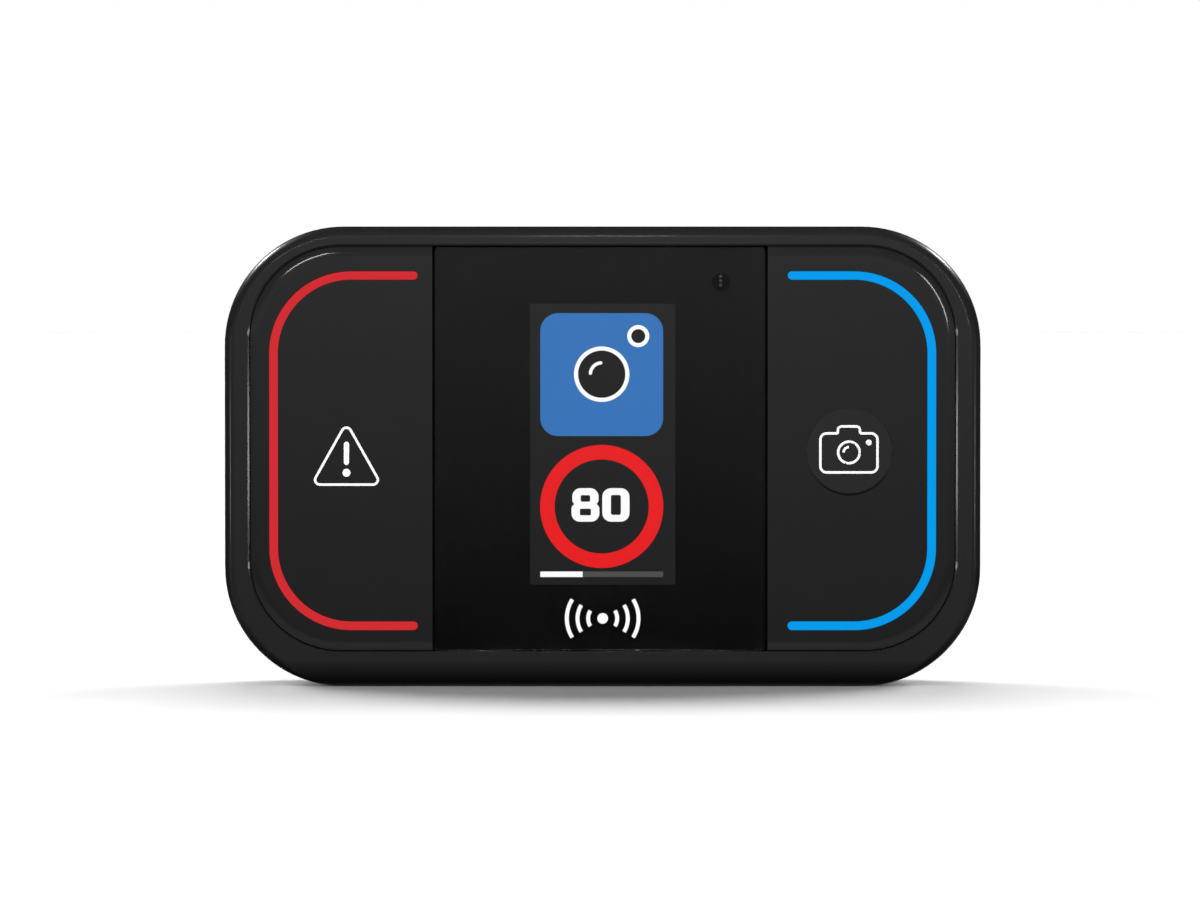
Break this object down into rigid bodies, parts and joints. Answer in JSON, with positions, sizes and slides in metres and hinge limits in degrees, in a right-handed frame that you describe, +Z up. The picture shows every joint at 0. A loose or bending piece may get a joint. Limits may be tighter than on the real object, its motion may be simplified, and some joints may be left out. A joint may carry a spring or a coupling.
{
  "type": "radar detector",
  "caption": "Small dashboard traffic alarm: rounded black body, rocker push panels with C-shaped light strips, gloss lens over an upright display, magnetic mount seat behind.",
  "frame": {"origin": "middle of the footprint, where the body stands on its long lower edge", "axes": "+Z up; +X to the viewer's right from the front; the front looks along -Y"},
  "size_m": [0.078, 0.0151, 0.0475],
  "materials": {
    "housing_black": "satin moulded ABS, black",
    "panel_black": "satin soft-touch moulding, black",
    "chassis_plastic": "moulded, black",
    "lens_glass": "polished, black backed",
    "mask_ink": "screen-printed black",
    "tape": "double-sided tape",
    "white_ink": "printed, off-white",
    "foam": "closed-cell foam",
    "display_glass": "polished",
    "backlight": "white diffuser",
    "flex_film": "polyimide film",
    "socket_plastic": "moulded, cream",
    "red_guide": "translucent light guide, lit red",
    "blue_guide": "translucent light guide, lit blue",
    "clear_guide": "clear light pipe",
    "steel": "stainless",
    "screw_steel": "blackened steel",
    "switch_plastic": "moulded, black",
    "board_green": "solder mask, green",
    "lamp_yellow": "lamp package",
    "chip_black": "moulded package",
    "ceramic_brown": "ceramic chip",
    "cell_foil": "pouch foil",
    "wire_red": "insulation, red",
    "wire_black": "insulation, black",
    "speaker_plastic": "basket and magnet",
    "cone_film": "polymer film",
    "gold_spring": "gold-plated spring"
  },
  "bodies": {
    "root": {"front_frame": "housing_black", "rear_cover": "housing_black", "chassis": "chassis_plastic", "cover_lens": "lens_glass", "lens_mask": "mask_ink", "lens_tape": "tape", "emblem_print": "white_ink", "display_gasket": "foam", "lcd_panel": "display_glass", "backlight_unit": "backlight", "display_flex": "flex_film", "flex_socket": "socket_plastic", "left_hinge_pin": "steel", "right_hinge_pin": "steel", "left_switch_body": "steel", "right_switch_body": "steel", "main_board": "board_green", "left_strip_leds": "lamp_yellow", "right_strip_leds": "lamp_yellow", "sensor_light_pipe": "clear_guide", "light_sensor": "chip_black", "radio_shield": "steel", "radio_antenna": "socket_plastic", "control_chips": "chip_black", "charge_coil": "chip_black", "board_capacitors": "ceramic_brown", "board_screws": "screw_steel", "port_shell": "steel", "port_tongue": "switch_plastic", "port_base": "switch_plastic", "battery_cell": "cell_foil", "battery_wrap": "flex_film", "battery_pad": "foam", "battery_red_lead": "wire_red", "battery_black_lead": "wire_black", "battery_plug": "socket_plastic", "battery_socket": "socket_plastic", "speaker_basket": "speaker_plastic", "speaker_cone": "cone_film", "speaker_gasket": "foam", "speaker_mesh": "tape", "speaker_springs": "gold_spring", "mount_plate": "steel", "mount_plate_tape": "tape", "housing_screws": "screw_steel"},
    "left_button": {"left_panel": "panel_black", "left_light_strip": "red_guide", "hazard_print": "white_ink"},
    "right_button": {"right_panel": "panel_black", "right_light_strip": "blue_guide", "camera_print": "white_ink"},
    "left_plunger": {"left_switch_plunger": "switch_plastic"},
    "right_plunger": {"right_switch_plunger": "switch_plastic"}
  },
  "joints": [
    {"name": "left_press", "type": "hinge", "parent": "root", "child": "left_button", "pos_m": [-0.01835, -0.0046, 0.0245], "axis": [0, 0, -1], "range_deg": [0, 1.85], "stiffness_Nm_per_rad": 0.25, "springref_deg": -1.15},
    {"name": "right_press", "type": "hinge", "parent": "root", "child": "right_button", "pos_m": [0.01835, -0.0046, 0.0245], "axis": [0, 0, 1], "range_deg": [0, 1.85], "stiffness_Nm_per_rad": 0.25, "springref_deg": -1.15},
    {"name": "left_switch_travel", "type": "slide", "parent": "root", "child": "left_plunger", "axis": [0, 1, 0], "range_m": [0, 0.00026]},
    {"name": "right_switch_travel", "type": "slide", "parent": "root", "child": "right_plunger", "axis": [0, 1, 0], "range_m": [0, 0.00026]}
  ],
  "couplings": [
    {"joint": "left_switch_travel", "follows": "left_press", "m_per_rad": 0.0078},
    {"joint": "right_switch_travel", "follows": "right_press", "m_per_rad": 0.0078}
  ]
}
